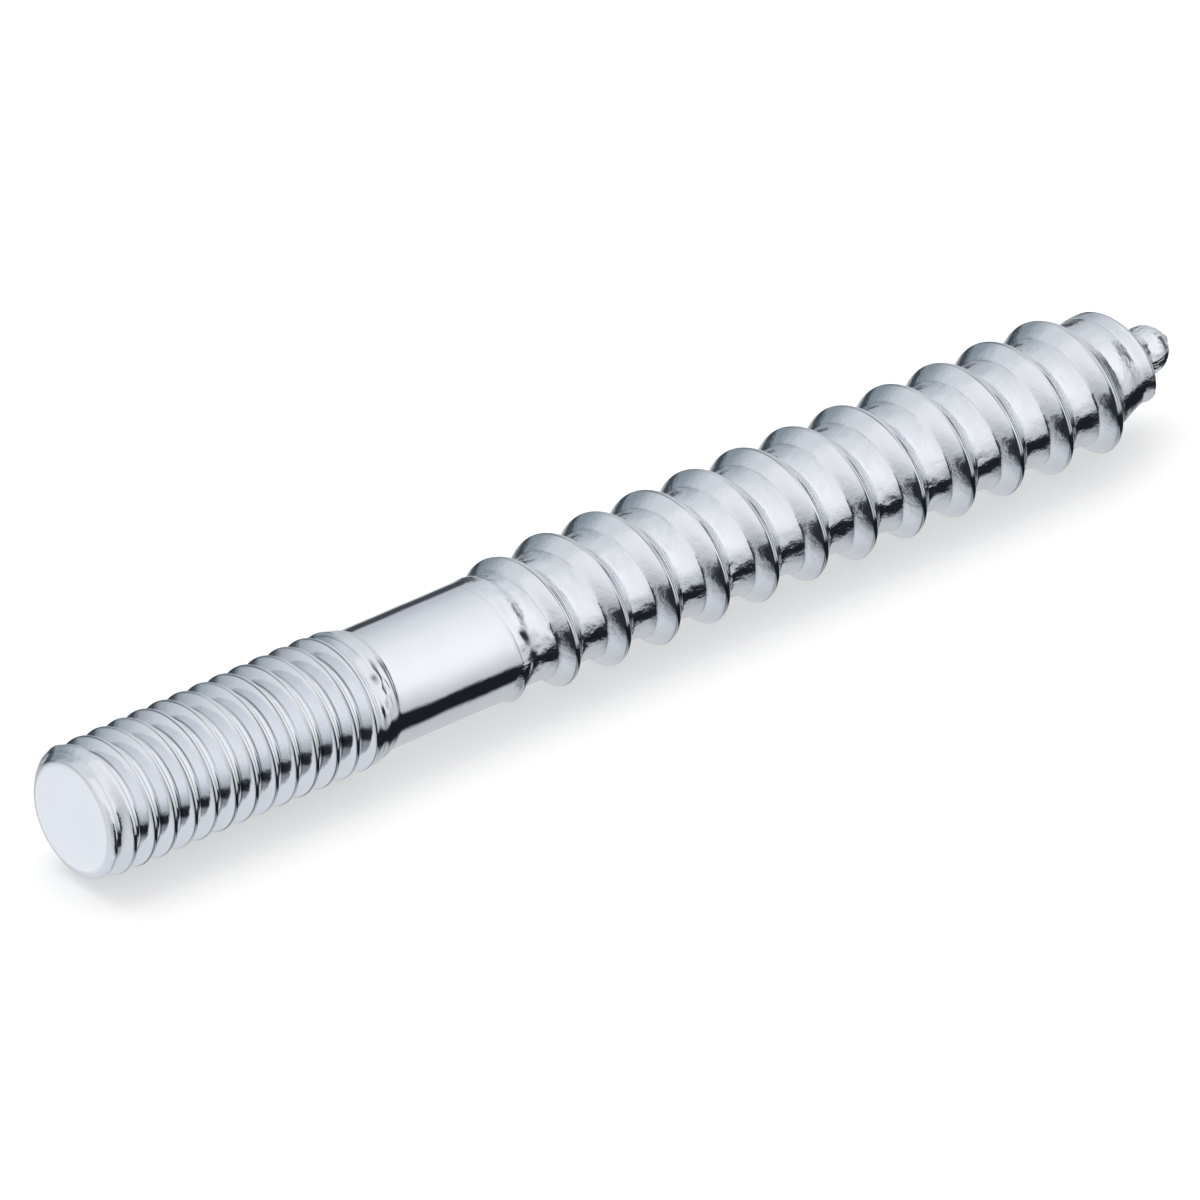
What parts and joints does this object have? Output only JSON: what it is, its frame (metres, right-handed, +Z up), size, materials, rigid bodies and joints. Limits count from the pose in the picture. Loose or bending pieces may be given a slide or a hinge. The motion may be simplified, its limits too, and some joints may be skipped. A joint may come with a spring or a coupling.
{
  "type": "hanger bolt",
  "caption": "Headless steel fastener with a fine machine thread, a plain shank and a coarse wood thread that ends in a blunt gimlet point.",
  "frame": {"origin": "on the surface that the bolt lies on, below the middle of its length", "axes": "+X along the bolt from the machine end to the point, +Z up"},
  "size_m": [0.0774, 0.0084, 0.0084],
  "materials": {
    "bright_zinc": "bright zinc plate"
  },
  "bodies": {
    "root": {"hanger_bolt": "bright_zinc"}
  },
  "joints": []
}
